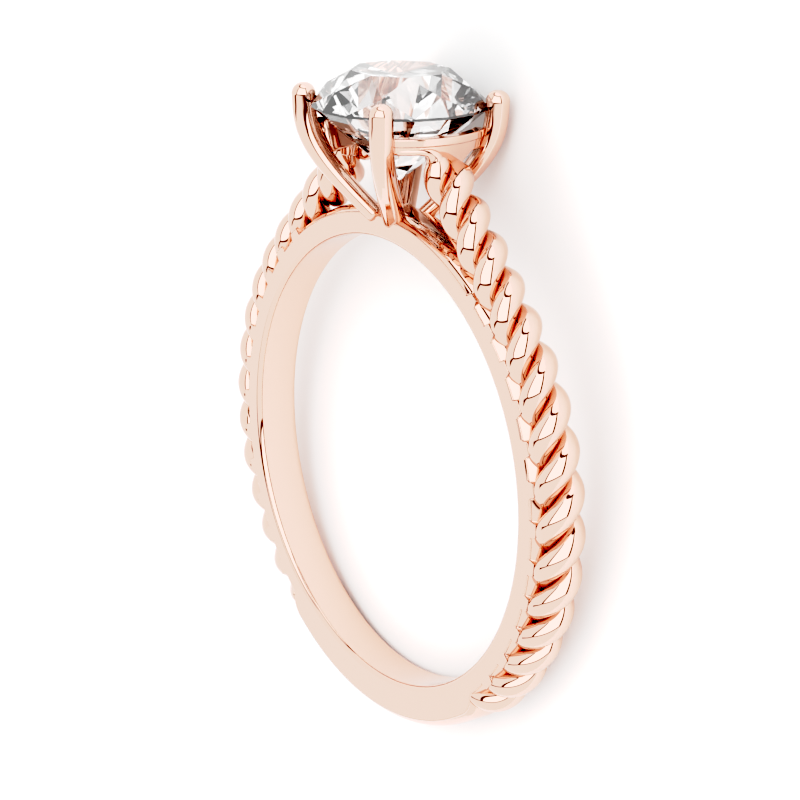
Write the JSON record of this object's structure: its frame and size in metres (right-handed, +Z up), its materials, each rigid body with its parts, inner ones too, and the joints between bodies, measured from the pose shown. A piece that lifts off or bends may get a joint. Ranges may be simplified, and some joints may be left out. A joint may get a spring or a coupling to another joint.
{
  "type": "solitaire ring",
  "caption": "Solitaire ring with twisted rope shoulders, a plain shank and a round cut stone held in an open prong head.",
  "frame": {"origin": "middle of the bounding box's footprint, on the floor that the ring lies on", "axes": "+Z up from the floor, close to the axis of the finger bore; -Y towards the head with the stone, +Y towards the plain back of the shank; +X across the ring"},
  "size_m": [0.0216, 0.0252, 0.0065],
  "materials": {
    "rose_gold": "high polish rose gold",
    "clear_stone": "clear faceted stone, polished"
  },
  "bodies": {
    "root": {"mount": "rose_gold", "stone": "clear_stone"}
  },
  "joints": []
}
